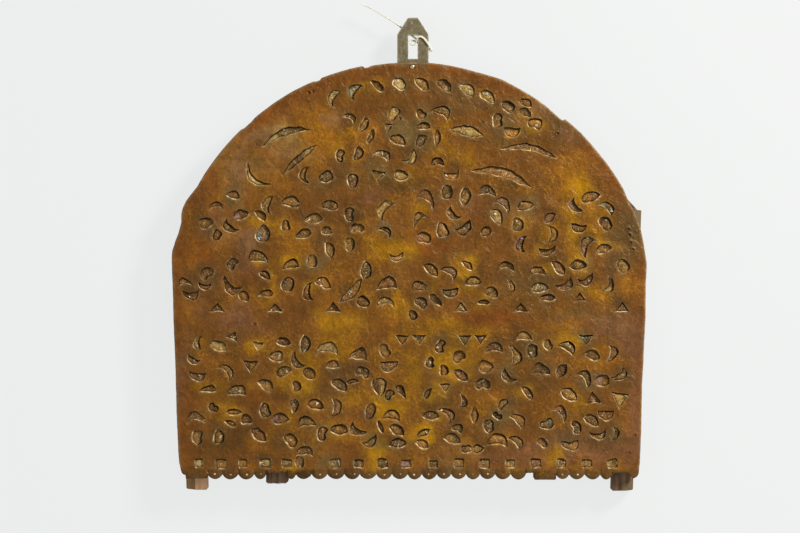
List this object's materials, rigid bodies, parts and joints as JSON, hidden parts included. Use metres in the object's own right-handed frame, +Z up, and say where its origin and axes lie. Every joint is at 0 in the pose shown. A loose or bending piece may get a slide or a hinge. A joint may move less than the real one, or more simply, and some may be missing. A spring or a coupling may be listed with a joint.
{
  "type": "door hanging",
  "caption": "Arched wooden hanging board with carved inlay pits and a beaded lower edge, on rear battens, with a slotted metal hanging plate and a nylon tie.",
  "frame": {"origin": "middle of the slot's upper wall in the hanging plate, where the plate bears on its screw, at half the plate's thickness", "axes": "+Z up, carved face towards -Y, +Y towards the door or wall, +X to the right when the carved face is looked at"},
  "size_m": [0.5703, 0.038, 0.5887],
  "materials": {
    "gilt_lacquer": "carved wood under red-brown lacquer and worn gilding",
    "raw_wood": "pale sawn softwood",
    "dark_wood": "dark stained, aged wood",
    "dull_steel": "dull, handled steel sheet",
    "worn_brass": "tarnished, polished by wear on the dome",
    "white_nylon": "smooth white nylon"
  },
  "bodies": {
    "root": {"board": "gilt_lacquer", "batten_outer_left": "raw_wood", "batten_outer_right": "dark_wood", "batten_inner_left": "dark_wood", "batten_inner_right": "dark_wood", "hanging_plate": "dull_steel", "rim_nail": "worn_brass", "cable_tie": "white_nylon"}
  },
  "joints": []
}
